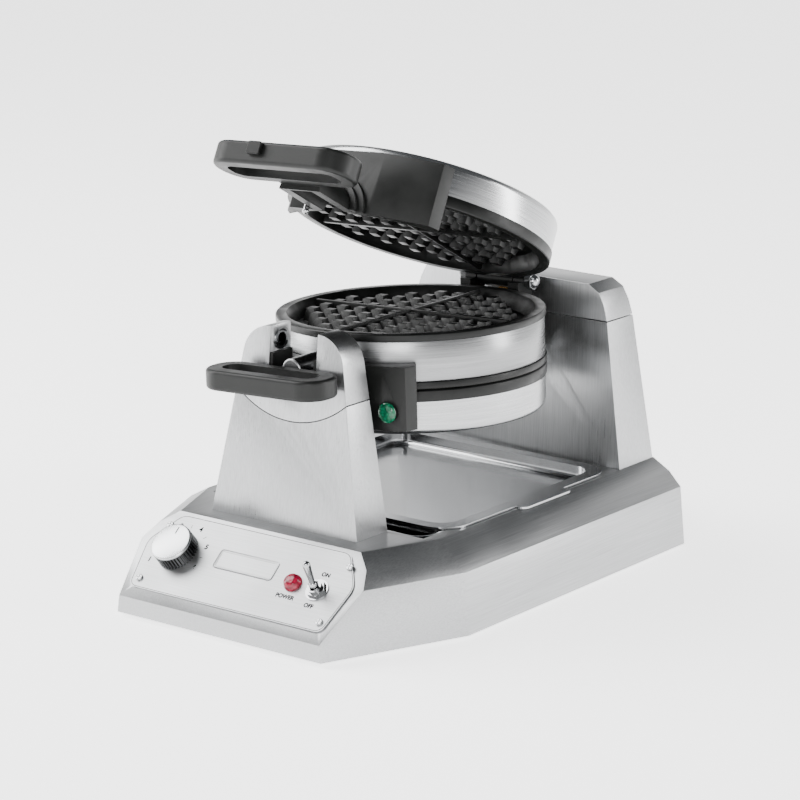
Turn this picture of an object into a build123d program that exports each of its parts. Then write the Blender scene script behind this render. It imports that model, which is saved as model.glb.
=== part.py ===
"""Rotary double waffle maker: base, posts, turning drum, opening lid, tray and controls.

Millimetres, +Z up, -Y is the operator's side. The origin is on the table under the middle of the base.
"""
import os
from math import atan2, cos, degrees, hypot, radians, sin

from build123d import *

# ---- driving dimensions -------------------------------------------------------------------
FOOT_HEIGHT = 3.0
BASE_LENGTH = 380.0
FRONT_HALF_WIDTH = 87.0
REAR_HALF_WIDTH = 129.0
CHAMFER_END_Y = -82.7
BASE_WALL = 1.6
# height above the base's bottom edge, and how far the outline has drawn in by there
BASE_LEVELS = ((0.0, 0.0), (42.5, 5.0), (52.6, 15.0), (60.6, 29.0))
BASE_TOP_Z = FOOT_HEIGHT + BASE_LEVELS[-1][0]
PANEL_LIP = 12.0
PANEL_TOP_Y = -135.0

AXIS_Z = 170.15
ROTOR_TIP = -3.0
LID_OPEN = 28.0
DRUM_Y = 23.9
BAND_R = 93.7
RIM_R = 94.6
MIDDLE_HALF = 19.15
RIM_HEIGHT = 5.0
LID_GAP = 0.4
LID_RIM = 8.0
LID_DEPTH = 31.5
HINGE_Y = 133.0
HINGE_RISE = 22.85

FRONT_POST_Y = -119.5
FRONT_POST_DEPTH = 34.2
FRONT_POST_HALF = 62.3
FRONT_POST_TOP = 197.0
FRONT_POST_TAPER = 0.174
REAR_POST_Y = 144.5
REAR_POST_DEPTH = 44.4
POST_FACE_LEAN = 0.082
POST_INNER_LEAN = 0.015
POST_WALL = 2.0
FRONT_SEAM_Z = 153.4
REAR_SEAM_Z = 170.4
SEAM_GAP = 0.7
NOTCH_R = 20.0
NECK_R = 17.0

# each handle's half width, front, height and corner radius
BOTTOM_HANDLE = (50.0, -151.5, 14.0, 16.5)
TOP_HANDLE = (56.0, -153.5, 16.0, 18.5)
HANDLE_BACK_Y = -115.5
HANDLE_RISE = 3.5
HALVES_GAP = 0.4
GRIP_WIDTH = 11.0
NECK_BORE = 9.5
LATCH_AT = (-13.0, TOP_HANDLE[1], AXIS_Z + HANDLE_RISE + HALVES_GAP + TOP_HANDLE[2] - 5.5)
LATCH_SIZE = (11.0, 3.0, 9.0)
LATCH_PIN_R = 2.0

# the skirts' plans, round the front of the drum from right to left
SKIRT_FRONT_Y = -73.5
TOP_SKIRT = ((54, -38), (66, -44), (72, -50), (69, -59), (30, -73.5), (-38, -73.5), (-46, -65), (-51, -54),
             (-44, -44))
BOTTOM_SKIRT = ((54, -38), (58, -50), (64, -58), (62, -68), (46, -73.5), (-46, -73.5), (-62, -68), (-64, -58),
                (-58, -50), (-54, -38))
SKIRT_WALL = 3.0
SKIRT_LOW = 0.45
SKIRT_HIGH = 44.0
BOSS_R = 26.0
LOCK_PIN_R = 1.9
LOCK_PIN_AT = (-20.0, -78.0)
READY_LAMP_AT = (50.5, AXIS_Z - 31.0)
READY_LAMP_R = 7.2

PANEL_ANGLE = degrees(atan2(BASE_TOP_Z - FOOT_HEIGHT - PANEL_LIP, PANEL_TOP_Y + BASE_LENGTH / 2))
PANEL = Plane(
    origin=(0, -BASE_LENGTH / 2, FOOT_HEIGHT + PANEL_LIP),
    x_dir=(1, 0, 0),
    z_dir=(0, -sin(radians(PANEL_ANGLE)), cos(radians(PANEL_ANGLE))),
)
PANEL_SKIN = 1.2
# half of the control plate's outline, with the fillet at each corner
PANEL_HALF = ((82.0, 8.5, 6.0), (88.5, 46.0, 14.0), (72.0, 70.5, 9.0))
KNOB_AT = (-59.0, 42.0)
KNOB_R = 15.2
KNOB_TOP = 12.5
KNOB_FLUTES = 36
LAMP_AT = (41.8, 39.0)
TOGGLE_AT = (62.5, 38.0)
TOGGLE_PIVOT = 8.0
TOGGLE_TILT = 16.0
KNOB_SHAFT_R = 3.0
LAMP_HOLE_R = 5.0
TOGGLE_HOLE_R = 5.0
PANEL_SCREWS_AT = ((-76.5, 15.7), (77.4, 15.7), (-77.0, 60.0), (77.0, 60.0))

SPINDLE_R = 12.0
SPINDLE_BORE = 7.0
FRONT_SPINDLE_R = 8.0
BUSH_R = 15.95
ELEMENT_R = 62.0
ELEMENT_TUBE_R = 3.3
EYELET_AT = (-98.0, AXIS_Z + 16.5)
EAR_INNER = 16.5
EAR_OUTER = 25.5
PIN_R = 3.0
LEAF_THICKNESS = 6.5
REAR_PROFILE = ((99.8, 0.0), (84.0, 107.3), (81.0, 117.8), (76.4, 126.8), (67.4, 132.1))

POST_SCREWS_AT = [(x, y) for x in (-44.0, 44.0) for y in (FRONT_POST_Y + 10.0, FRONT_POST_Y + 26.0)]
POST_SCREWS_AT += [(x, y) for x in (-82.0, 82.0) for y in (REAR_POST_Y + 10.0, REAR_POST_Y + 34.0)]
POST_SCREW_HOLE_R = 2.1
WIRING_HOLE_R = 14.0
GLAND_AT = (-88.0, 26.0)
FEET_AT = ((-74, -170), (74, -170), (-108, 168), (108, 168))
BOTTOM_SCREWS_AT = ((-60, -174), (60, -174), (-116, -60), (116, -60), (-116, 150), (116, 150))

STUD_PITCH = 15.2
STUD_BASE = 11.0
STUD_HEIGHT = 9.4
GRID_R = 80.0

TRAY_HALF = 97.5
TRAY_FRONT_Y = -64.0
TRAY_BACK_Y = 139.0
WELL_HALF = 91.0
WELL_FRONT_Y = -84.0
WELL_BACK_Y = 135.0
WELL_DEPTH = 24.0


# ---- small helpers ------------------------------------------------------------------------
def box(x0, x1, y0, y1, z0, z1):
    """A block between two corners."""
    return Pos((x0 + x1) / 2, (y0 + y1) / 2, (z0 + z1) / 2) * Box(x1 - x0, y1 - y0, z1 - z0)


def disc(radius, z0, z1, x=0.0, y=DRUM_Y):
    """An upright cylinder."""
    return Pos(x, y, (z0 + z1) / 2) * Cylinder(radius, z1 - z0)


def rod_y(radius, y0, y1, x=0.0, z=AXIS_Z):
    """A cylinder lying along Y."""
    return Pos(x, (y0 + y1) / 2, z) * Rot(90, 0, 0) * Cylinder(radius, y1 - y0)


def rod_x(radius, x0, x1, y, z):
    """A cylinder lying along X."""
    return Pos((x0 + x1) / 2, y, z) * Rot(0, 90, 0) * Cylinder(radius, x1 - x0)


def prism_xz(points, y0, y1, corners=None):
    """An outline in X and Z, extruded along Y; corners maps a point's index to its fillet radius."""
    outline = Polyline(*[(x, z) for x, z in points], close=True)
    face = make_face(Plane.XY * outline)
    for index, radius in (corners or {}).items():
        x, z = points[index]
        near = face.vertices().sort_by_distance((x, z, 0))[0]
        face = fillet(near, radius)
    solid = extrude(face, y1 - y0)
    return Pos(0, y1, 0) * Rot(90, 0, 0) * solid


def prism_yz(points, half_width):
    """An outline in Y and Z, extruded both ways along X."""
    outline = Polyline(*[(y, z) for y, z in points], close=True)
    solid = extrude(make_face(Plane.XY * outline), half_width, both=True)
    return Rot(0, 0, 90) * Rot(90, 0, 0) * solid


def tipped(shape):
    """Turns a level rotor piece to its place at rest, a little off level."""
    return Pos(0, 0, AXIS_Z) * Rot(0, ROTOR_TIP, 0) * Pos(0, 0, -AXIS_Z) * shape


def opened(shape):
    """Swings a closed top lid piece up about the hinge, then tips it with the rotor."""
    hinge_z = AXIS_Z + HINGE_RISE
    swung = Pos(0, HINGE_Y, hinge_z) * Rot(-LID_OPEN, 0, 0) * Pos(0, -HINGE_Y, -hinge_z) * shape
    return tipped(swung)


def flipped(shape):
    """A copy turned half a turn about the rotor's axis."""
    return Pos(0, 0, AXIS_Z) * Rot(0, 180, 0) * Pos(0, 0, -AXIS_Z) * shape


def save(name, *shapes):
    """Writes one node as one STEP file."""
    solids = [solid for shape in shapes for solid in shape.solids()]
    node = solids[0] if len(solids) == 1 else Compound(children=solids)
    export_step(node, os.path.join("parts", name + ".step"))
    print(name, len(solids), round(sum(solid.volume for solid in solids)))


# ---- base ---------------------------------------------------------------------------------
def base_outline(inset, end_inset=0.0):
    """The base's plan: narrow front, chamfers widening to parallel sides, square back."""
    run = REAR_HALF_WIDTH - FRONT_HALF_WIDTH
    rise = CHAMFER_END_Y + BASE_LENGTH / 2
    length = hypot(run, rise)
    front_y = -BASE_LENGTH / 2 + end_inset
    shift = inset * length / rise
    front_x = FRONT_HALF_WIDTH - shift + end_inset * run / rise
    side_x = REAR_HALF_WIDTH - inset
    corner_y = CHAMFER_END_Y + (shift - inset) * rise / run
    back_y = BASE_LENGTH / 2 - end_inset
    right = [(front_x, front_y), (side_x, corner_y), (side_x, back_y)]
    return right + [(-x, y) for x, y in reversed(right)]


def base_body(inset):
    """The base's solid form, drawn in on every wall by inset."""
    sections = []
    for rise, taper in BASE_LEVELS:
        z = FOOT_HEIGHT + rise - (inset if rise == BASE_LEVELS[-1][0] else 0.0)
        outline = Polyline(*base_outline(taper + inset, inset), close=True)
        sections.append(make_face(Plane.XY.offset(z) * outline))
    body = loft(sections, ruled=True)
    slope = radians(PANEL_ANGLE)
    lift = inset / cos(slope)
    run = 60.0
    start_y = -BASE_LENGTH / 2 - run
    start_z = FOOT_HEIGHT + PANEL_LIP - lift - run * sin(slope) / cos(slope)
    end_y = PANEL_TOP_Y + run
    end_z = BASE_TOP_Z - lift + run * sin(slope) / cos(slope)
    over = prism_yz([(start_y, start_z), (end_y, end_z), (start_y, end_z)], REAR_HALF_WIDTH + 10)
    return body - over


def on_panel(at, shape, height=0.0):
    """Puts a shape on the sloped control face, at height above it."""
    return PANEL * Pos(at[0], at[1], height) * shape


def stub(radius, low, high):
    """An upright cylinder on the local axis."""
    return Pos(0, 0, (low + high) / 2) * Cylinder(radius, high - low)


def panel_holes(extra):
    """The through holes for the knob's shaft, the lamp and the toggle switch."""
    holes = on_panel(KNOB_AT, Cylinder(KNOB_SHAFT_R + extra, 20))
    holes += on_panel(LAMP_AT, Cylinder(LAMP_HOLE_R + extra, 20))
    holes += on_panel(TOGGLE_AT, Cylinder(TOGGLE_HOLE_R + extra, 20))
    return holes


def screw(shaft_r, head_r, shaft_length, head_height):
    """A pan-head screw standing on the local XY plane, its shaft below."""
    head = stub(head_r, 0, head_height)
    head = fillet(head.edges().sort_by(Axis.Z)[-1], head_height * 0.45)
    slot_length = head_r * 1.5
    cross = Box(slot_length, 0.7, 0.9) + Box(0.7, slot_length, 0.9)
    return head + stub(shaft_r, -shaft_length, 0) - Pos(0, 0, head_height) * cross


def well_block(inset, z0, z1):
    """The tray well's round-cornered block, drawn in by inset."""
    block = box(-WELL_HALF + inset, WELL_HALF - inset, WELL_FRONT_Y + inset, WELL_BACK_Y - inset, z0, z1)
    return fillet(block.edges().filter_by(Axis.Z), 14.2 - inset)


def base_pieces():
    """The housing, bottom plate, feet, screws and the tray's well."""
    housing = base_body(0) - base_body(BASE_WALL)
    housing -= box(-REAR_HALF_WIDTH, REAR_HALF_WIDTH, -200, 200, 0, FOOT_HEIGHT + 0.01)
    housing -= box(-WELL_HALF, WELL_HALF, WELL_FRONT_Y, WELL_BACK_Y, BASE_TOP_Z - 4, BASE_TOP_Z + 4)
    housing -= panel_holes(0.3)
    for at in PANEL_SCREWS_AT:
        housing -= on_panel(at, Cylinder(1.3, 8))
    for x, y in POST_SCREWS_AT:
        housing -= disc(POST_SCREW_HOLE_R, BASE_TOP_Z - 4, BASE_TOP_Z + 4, x, y)
    housing -= disc(WIRING_HOLE_R, BASE_TOP_Z - 4, BASE_TOP_Z + 4, 0, FRONT_POST_Y + 18)
    housing -= disc(WIRING_HOLE_R, BASE_TOP_Z - 4, BASE_TOP_Z + 4, 0, REAR_POST_Y + 22)
    housing -= rod_y(9.0, 180, 200, GLAND_AT[0], GLAND_AT[1])
    save("base_housing", housing)

    inset = BASE_WALL + 0.4
    outline = Polyline(*base_outline(inset, inset), close=True)
    plate = extrude(make_face(Plane.XY.offset(FOOT_HEIGHT) * outline), 1.2)
    for x, y in BOTTOM_SCREWS_AT:
        plate -= disc(1.8, 0, 8, x, y)
    for x, y in FEET_AT:
        plate -= disc(3.1, 0, 8, x, y)
    for row in range(7):
        plate -= box(-40, 40, -60 + row * 12.0, -56 + row * 12.0, 0, 8)
    save("bottom_plate", plate)

    feet = []
    for x, y in FEET_AT:
        pad = Pos(x, y, 0) * Cone(8.0, 9.5, FOOT_HEIGHT, align=(Align.CENTER, Align.CENTER, Align.MIN))
        neck = disc(3.0, FOOT_HEIGHT, FOOT_HEIGHT + 4.0, x, y)
        barb = disc(4.6, FOOT_HEIGHT + 1.25, FOOT_HEIGHT + 3.2, x, y)
        feet.append(pad + neck + barb)
    save("rubber_feet", *feet)

    screws = []
    for x, y in BOTTOM_SCREWS_AT:
        screws.append(Pos(x, y, FOOT_HEIGHT) * Rot(180, 0, 0) * screw(1.7, 3.2, 8.0, 1.6))
    save("bottom_plate_screws", *screws)

    well = well_block(0.2, BASE_TOP_Z - WELL_DEPTH, BASE_TOP_Z - 0.1)
    save("tray_well", well - well_block(1.4, BASE_TOP_Z - WELL_DEPTH + 1.2, BASE_TOP_Z + 5))


def panel_pieces():
    """The control plate with its screws, lamp, toggle switch, thermostat and knob."""
    corners = list(PANEL_HALF) + [(-x, y, radius) for x, y, radius in reversed(PANEL_HALF)]
    face = make_face(Polyline(*[(x, y) for x, y, radius in corners], close=True))
    for x, y, radius in corners:
        face = fillet(face.vertices().sort_by_distance((x, y, 0))[0], radius)
    plate = PANEL * extrude(face, PANEL_SKIN) - panel_holes(0.3)
    for at in PANEL_SCREWS_AT:
        plate -= on_panel(at, Cylinder(1.3, 8))
    save("control_panel", plate)
    save("panel_screws", *[on_panel(at, screw(1.25, 2.6, 5.0, 1.4), PANEL_SKIN) for at in PANEL_SCREWS_AT])

    dome = stub(5.6, 2.3, 5.4)
    dome = fillet(dome.edges().sort_by(Axis.Z)[-1], 1.6)
    save("power_lamp_lens", on_panel(LAMP_AT, stub(6.6, 0, 2.4) + dome, PANEL_SKIN))
    lamp = stub(4.9, -16, -0.05 + PANEL_SKIN)
    for x in (-2, 2):
        lamp += Pos(x, 0, -19) * Box(0.8, 3, 6.2)
    save("power_lamp_body", on_panel(LAMP_AT, lamp))

    body = Pos(0, 0, -13.0 - BASE_WALL) * Box(13, 20, 24) + stub(5.0, -3, 6.5)
    body -= Pos(0, 0, TOGGLE_PIVOT) * Sphere(3.6) + stub(2.6, -6, 10) + Pos(0, 0, 5.5) * Box(2.8, 8, 6)
    for y in (-6.5, 0, 6.5):
        body += Pos(0, y, -27.5 - BASE_WALL) * Box(5, 0.8, 5.2)
    save("toggle_switch_body", on_panel(TOGGLE_AT, body))
    nut = extrude(RegularPolygon(7.0, 6), 2.2) - stub(5.1, -1, 4)
    ring = stub(8.2, 0, 0.9) - stub(5.1, -1, 2)
    save("toggle_nut", on_panel(TOGGLE_AT, Pos(0, 0, 0.9) * nut + ring, PANEL_SKIN))
    lever = Sphere(2.9) + Rot(0, 90, 0) * Cylinder(1.0, 6.8)
    lever += Cone(1.7, 2.7, 17.0, align=(Align.CENTER, Align.CENTER, Align.MIN)) + Pos(0, 0, 17) * Sphere(2.7)
    lever = Pos(0, 0, TOGGLE_PIVOT) * Rot(-TOGGLE_TILT, 0, 0) * lever
    save("toggle_lever", on_panel(TOGGLE_AT, lever))

    housing = stub(16.0, -20 - BASE_WALL, -0.2 - BASE_WALL) + Pos(0, 0, -27 - BASE_WALL) * Box(24, 30, 14)
    housing -= stub(KNOB_SHAFT_R + 0.05, -12, 5)
    save("thermostat_body", on_panel(KNOB_AT, housing))
    save("knob_shaft", on_panel(KNOB_AT, stub(KNOB_SHAFT_R, -11, KNOB_TOP - 4.0)))
    knob = stub(KNOB_R, 1.6, KNOB_TOP)
    for index in range(KNOB_FLUTES):
        knob -= Rot(0, 0, index * 360.0 / KNOB_FLUTES) * Pos(KNOB_R + 0.3, 0, 10) * Cylinder(0.85, 30)
    cap_low = KNOB_TOP - 0.8
    cap_top = KNOB_TOP + 0.8
    knob -= stub(KNOB_SHAFT_R, 0, KNOB_TOP - 3.9) + stub(KNOB_R - 2.0, cap_low, cap_top + 2)
    save("knob_body", on_panel(KNOB_AT, knob))
    cap = stub(KNOB_R - 2.05, cap_low, cap_top)
    cap = fillet(cap.edges().sort_by(Axis.Z)[-1], 0.6)
    cap -= Pos(0, 9.0, cap_top) * Box(1.4, 7.0, 0.8)
    save("knob_cap", on_panel(KNOB_AT, cap))


def inner_pieces():
    """The mains terminals and the cord's gland."""
    block = box(-30, 30, 150, 168, 6, 20)
    for index in range(5):
        block -= disc(2.2, 12, 30, -24 + index * 12.0, 159)
    save("terminal_block", block)
    gland = rod_y(8.9, 187.0, 190.0, *GLAND_AT) + rod_y(12.5, 185.0, 188.3, *GLAND_AT)
    gland -= rod_y(4.5, 180, 196, *GLAND_AT)
    save("cable_gland", gland)


# ---- posts --------------------------------------------------------------------------------
def post_side(y_front, depth, inset, front_lean, back_lean, z_low, z_high):
    """The post's side view, leaning faces drawn in by inset."""
    def front(z):
        return y_front + inset + front_lean * (z - BASE_TOP_Z)

    def back(z):
        return y_front + depth - inset - back_lean * (z - BASE_TOP_Z)
    return [(front(z_low), z_low), (back(z_low), z_low), (back(z_high), z_high), (front(z_high), z_high)]


def notch(radius, top):
    """The open-topped cradle slot."""
    return rod_y(radius, -140, -60) + box(-radius, radius, -140, -60, AXIS_Z, top)


def front_post(inset):
    """The front post's solid form with its notch, drawn in by inset."""
    low = BASE_TOP_Z + (inset if inset else 0.0)
    high = FRONT_POST_TOP - inset
    x_low = FRONT_POST_HALF - inset * 1.02
    x_high = FRONT_POST_HALF - FRONT_POST_TAPER * (FRONT_POST_TOP - BASE_TOP_Z) - inset
    outline = [(-x_low, low), (x_low, low), (x_high, high), (-x_high, high)]
    solid = prism_xz(outline, -140, -60, {2: 22.0 - inset, 3: 22.0 - inset})
    side = post_side(FRONT_POST_Y, FRONT_POST_DEPTH, inset, POST_FACE_LEAN, POST_INNER_LEAN, low, high)
    solid = solid & prism_yz(side, 100)
    return solid - notch(NOTCH_R + inset, 260)


def rear_post(inset):
    """The rear post's solid form, drawn in by inset."""
    right = [(x - inset, BASE_TOP_Z + z - (inset if z > 130 else 0.0)) for x, z in REAR_PROFILE]
    right[0] = (right[0][0], BASE_TOP_Z + inset)
    outline = right + [(-x, z) for x, z in reversed(right)]
    solid = prism_xz(outline, 120, 210)
    side = post_side(REAR_POST_Y, REAR_POST_DEPTH, inset, POST_INNER_LEAN, POST_FACE_LEAN,
                     BASE_TOP_Z + inset, right[-1][1])
    return solid & prism_yz(side, 120)


def post_pieces():
    """Both posts, each a lower shell and a cap, with their bushes, the latch's eyelet and screws."""
    seam_r = 71.0
    above = box(-130, 130, -200, 0, FRONT_SEAM_Z, 300) + rod_y(seam_r, -200, 0, 0, FRONT_SEAM_Z + 53.3)
    above_gap = box(-130, 130, -200, 0, FRONT_SEAM_Z - SEAM_GAP, 300)
    above_gap += rod_y(seam_r + SEAM_GAP, -200, 0, 0, FRONT_SEAM_Z + 53.3)
    hollow = front_post(POST_WALL)
    wiring = disc(WIRING_HOLE_R - 1, BASE_TOP_Z - 5, BASE_TOP_Z + 5, 0, FRONT_POST_Y + 18)
    shell = front_post(0) - hollow - wiring
    for x, y in POST_SCREWS_AT[:4]:
        shell -= disc(POST_SCREW_HOLE_R, BASE_TOP_Z - 4, BASE_TOP_Z + 6, x, y)
    save("front_post_shell", shell - above_gap)
    cap = shell & above
    eye_y, eye_z = EYELET_AT
    save("front_post_cap", cap - rod_x(5.5, -24, -16, eye_y, eye_z))

    bush = notch(NOTCH_R - 0.05, AXIS_Z + 9) - notch(NECK_R + 0.2, 260)
    bush = bush & box(-30, 30, -117.0, -88.5, 100, AXIS_Z + 9)
    side = post_side(FRONT_POST_Y, FRONT_POST_DEPTH, 0.5, POST_FACE_LEAN, POST_INNER_LEAN, 120, 260)
    bush = bush & prism_yz(side, 60)
    save("front_cradle_bush", bush)
    ring = rod_x(7.0, -20.0, -18.9, eye_y, eye_z) - rod_x(4.6, -30, -10, eye_y, eye_z)
    ring += rod_x(5.4, -24.0, -20.0, eye_y, eye_z) - rod_x(4.6, -30, -10, eye_y, eye_z)
    save("catch_eyelet", ring)

    rear = rear_post(0) - rear_post(POST_WALL)
    rear -= rod_y(BUSH_R + 0.05, 130, 152)
    rear -= disc(WIRING_HOLE_R - 1, BASE_TOP_Z - 5, BASE_TOP_Z + 5, 0, REAR_POST_Y + 22)
    for x, y in POST_SCREWS_AT[4:]:
        rear -= disc(POST_SCREW_HOLE_R, BASE_TOP_Z - 4, BASE_TOP_Z + 6, x, y)
    save("rear_post_shell", rear & box(-130, 130, 100, 220, 0, REAR_SEAM_Z - SEAM_GAP))
    save("rear_post_cap", rear & box(-130, 130, 100, 220, REAR_SEAM_Z, 300))

    bush = rod_y(BUSH_R, 145.0, 156) + rod_y(BUSH_R + 4.0, 148.6, 152.5)
    save("rear_bearing_bush", bush - rod_y(SPINDLE_R + 0.05, 130, 170))
    screws = []
    for x, y in POST_SCREWS_AT:
        screws.append(Pos(x, y, BASE_TOP_Z - BASE_WALL) * Rot(180, 0, 0) * screw(2.0, 3.8, 8.0, 2.2))
    save("post_screws", *screws)


# ---- tray ---------------------------------------------------------------------------------
def tray_piece():
    """The drip tray: flat rim with a lifting tab each side, and a shallow bowl."""
    rim_z = BASE_TOP_Z + 0.3
    rim_top = rim_z + 1.4
    rim = box(-TRAY_HALF, TRAY_HALF, TRAY_FRONT_Y, TRAY_BACK_Y, rim_z, rim_top)
    rim = fillet(rim.edges().filter_by(Axis.Z), 22)
    tab = box(-TRAY_HALF - 8, TRAY_HALF + 8, 15, 75, rim_z, rim_top)
    tab = fillet(tab.edges().filter_by(Axis.Z), 5)
    bowl_in = 9.0
    depth = 9.0
    bowl = box(-TRAY_HALF + bowl_in, TRAY_HALF - bowl_in, TRAY_FRONT_Y + bowl_in, TRAY_BACK_Y - bowl_in,
               rim_z - depth, rim_top)
    bowl = fillet(bowl.edges().filter_by(Axis.Z), 16)
    bowl = fillet(bowl.faces().sort_by(Axis.Z)[0].edges(), 5)
    skin = 1.2
    hollow = box(-TRAY_HALF + bowl_in + skin, TRAY_HALF - bowl_in - skin, TRAY_FRONT_Y + bowl_in + skin,
                 TRAY_BACK_Y - bowl_in - skin, rim_z - depth + skin, rim_top + 5)
    hollow = fillet(hollow.edges().filter_by(Axis.Z), 16 - skin)
    hollow = fillet(hollow.faces().sort_by(Axis.Z)[0].edges(), 5 - skin)
    save("drip_tray", rim + tab + bowl - hollow)


# ---- drum ---------------------------------------------------------------------------------
def stud_field(base_z):
    """The waffle studs: tapered square bumps on a square grid, kept inside the grid's circle."""
    centres = []
    count = int(GRID_R // STUD_PITCH) + 1
    for column in range(-count, count):
        for row in range(-count, count):
            x = (column + 0.5) * STUD_PITCH
            y = (row + 0.5) * STUD_PITCH
            if hypot(abs(x) + STUD_BASE / 2, abs(y) + STUD_BASE / 2) < GRID_R + 3:
                centres.append((x, y + DRUM_Y))
    faces = Sketch() + [Pos(x, y) * Rectangle(STUD_BASE, STUD_BASE) for x, y in centres]
    return Pos(0, 0, base_z) * extrude(faces, STUD_HEIGHT, taper=13)


def grid_plate(face_z, outer_low):
    """A cast plate whose studs face up: rim at face_z, back at outer_low."""
    floor_z = face_z - STUD_HEIGHT - 1.4
    plate = disc(92.0, outer_low, face_z - RIM_HEIGHT) + disc(RIM_R, face_z - RIM_HEIGHT, face_z)
    plate = chamfer(plate.edges().filter_by(GeomType.CIRCLE).sort_by(Axis.Z)[-1], 0.8)
    upward = (Align.CENTER, Align.CENTER, Align.MIN)
    plate -= Pos(0, DRUM_Y, floor_z) * Cone(82.0, 87.0, face_z - floor_z, align=upward)
    walls = box(-1.3, 1.3, DRUM_Y - 83, DRUM_Y + 83, floor_z - 0.5, face_z - 0.8)
    walls += box(-83, 83, DRUM_Y - 1.3, DRUM_Y + 1.3, floor_z - 0.5, face_z - 0.8)
    return plate + walls + stud_field(floor_z - 0.2)


def heating_element(radius, z):
    """A tubular ring element with two terminal legs towards the hinge."""
    ring = Pos(0, DRUM_Y, z) * Torus(radius, ELEMENT_TUBE_R)
    gap = 8.0
    ring -= box(-gap, gap, DRUM_Y + radius - 12, DRUM_Y + radius + 8, z - 6, z + 6)
    for side in (-1, 1):
        leg_x = side * (gap + 1.5)
        ring += rod_y(ELEMENT_TUBE_R - 0.4, DRUM_Y + radius - 4, DRUM_Y + radius + 15, leg_x, z)
    return ring


def middle_pieces():
    """The drum's middle: two plates back to back, band, element and spindles."""
    top = AXIS_Z + MIDDLE_HALF
    back = AXIS_Z + 4.2
    upper = grid_plate(top, back) - rod_y(12.4, -80, -64) - rod_y(14.4, 109.6, 125)
    save("middle_upper_plate", tipped(upper))
    save("middle_lower_plate", tipped(flipped(upper)))
    band_half = MIDDLE_HALF - RIM_HEIGHT - 0.15
    band = disc(BAND_R, AXIS_Z - band_half, AXIS_Z + band_half) - disc(BAND_R - 1.5, 0, 300)
    band -= rod_y(8.1, -80, -50) + rod_y(SPINDLE_R + 0.1, 100, 130)
    save("middle_band", tipped(band))
    save("middle_heating_element", tipped(heating_element(ELEMENT_R, AXIS_Z)))
    spindle = rod_y(FRONT_SPINDLE_R, -112.0, -64.5) + (rod_y(12.0, -69.0, -64.5) & disc(BAND_R - 1.6, 0, 300))
    spindle = fillet(spindle.edges().filter_by(GeomType.CIRCLE).sort_by(Axis.Y)[0], 1.5)
    save("front_spindle", tipped(spindle))
    tube = rod_y(SPINDLE_R, 110.0, 172.0) + rod_y(14.0, 110.0, 113.5)
    groove = rod_y(SPINDLE_R + 2, 158.0, 159.8) - rod_y(SPINDLE_R - 1.0, 150, 165)
    save("rear_spindle", tipped(tube - rod_y(SPINDLE_BORE, 100, 180) - groove))
    clip = rod_y(15.0, 158.1, 159.7) - rod_y(SPINDLE_R - 0.95, 150, 165)
    save("spindle_retaining_ring", tipped(clip - box(-4, 4, 150, 165, AXIS_Z - 30, AXIS_Z)))


def hinge_pieces():
    """The bracket behind the drum that both lids hinge on, its pins and domed nuts."""
    half = 13.5
    bracket = box(-26, 26, 105, 126.5, AXIS_Z - half, AXIS_Z + half) - disc(BAND_R + 0.02, 0, 300)
    for side in (-1, 1):
        for way in (-1, 1):
            x0, x1 = sorted((side * EAR_INNER, side * EAR_OUTER))
            z_pin = AXIS_Z + way * HINGE_RISE
            z0, z1 = sorted((AXIS_Z + way * 4.0, z_pin))
            bracket += box(x0, x1, 119.8, HINGE_Y + 5.0, z0, z1) + rod_x(6.4, x0, x1, HINGE_Y, z_pin)
            bracket -= rod_x(PIN_R + 0.05, -40, 40, HINGE_Y, z_pin)
    bracket -= rod_y(SPINDLE_R + 0.3, 90, 150)
    save("hinge_bracket", tipped(bracket))
    pins = []
    nuts = []
    for way in (-1, 1):
        z_pin = AXIS_Z + way * HINGE_RISE
        pins.append(tipped(rod_x(PIN_R, -31.0, 31.0, HINGE_Y, z_pin)))
        for side in (-1, 1):
            hexagon = extrude(RegularPolygon(6.6, 6), 5.0)
            dome = Pos(0, 0, 4.2) * Sphere(5.0) & stub(5.6, 4.4, 12)
            nut = hexagon + dome - stub(PIN_R, -1, 5.5)
            turned = Rot(0, 90 * side, 0) * nut
            nuts.append(tipped(Pos(side * (EAR_OUTER + 0.1), HINGE_Y, z_pin) * turned))
    save("hinge_pins", *pins)
    save("hinge_nuts", *nuts)


def lid_shell():
    """A closed top lid's casing: steel side band with a rolled top edge and a slightly domed top."""
    low = AXIS_Z + MIDDLE_HALF + LID_GAP + LID_RIM
    high = AXIS_Z + MIDDLE_HALF + LID_GAP + LID_DEPTH
    outer = disc(BAND_R, low, high - 2.0)
    outer += disc(BAND_R - 0.9, high - 2.0, high)
    outer = fillet(outer.edges().filter_by(GeomType.CIRCLE).sort_by(Axis.Z)[-1], 1.5)
    inner = disc(BAND_R - 1.5, low - 1, high - 2.4)
    return outer - inner


def lid_plate():
    """A closed top lid's cast plate: studs face down."""
    face = AXIS_Z + MIDDLE_HALF + LID_GAP
    level = grid_plate(0.0, -(LID_RIM + 7.0))
    level -= disc(200, -(LID_RIM + 8.0), -RIM_HEIGHT) - disc(92.0, -60, 60)
    collar = disc(RIM_R, -LID_RIM + 0.05, -RIM_HEIGHT) - disc(91.5, -60, 60)
    turned = Rot(0, 180, 0) * (level + collar)
    return Pos(0, 0, face) * turned


def skirt_block(plan, low, high):
    """An upright block on a plan given as (x, y) corners."""
    return extrude(make_face(Plane.XY.offset(low) * Polyline(*plan, close=True)), high - low)


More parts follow.
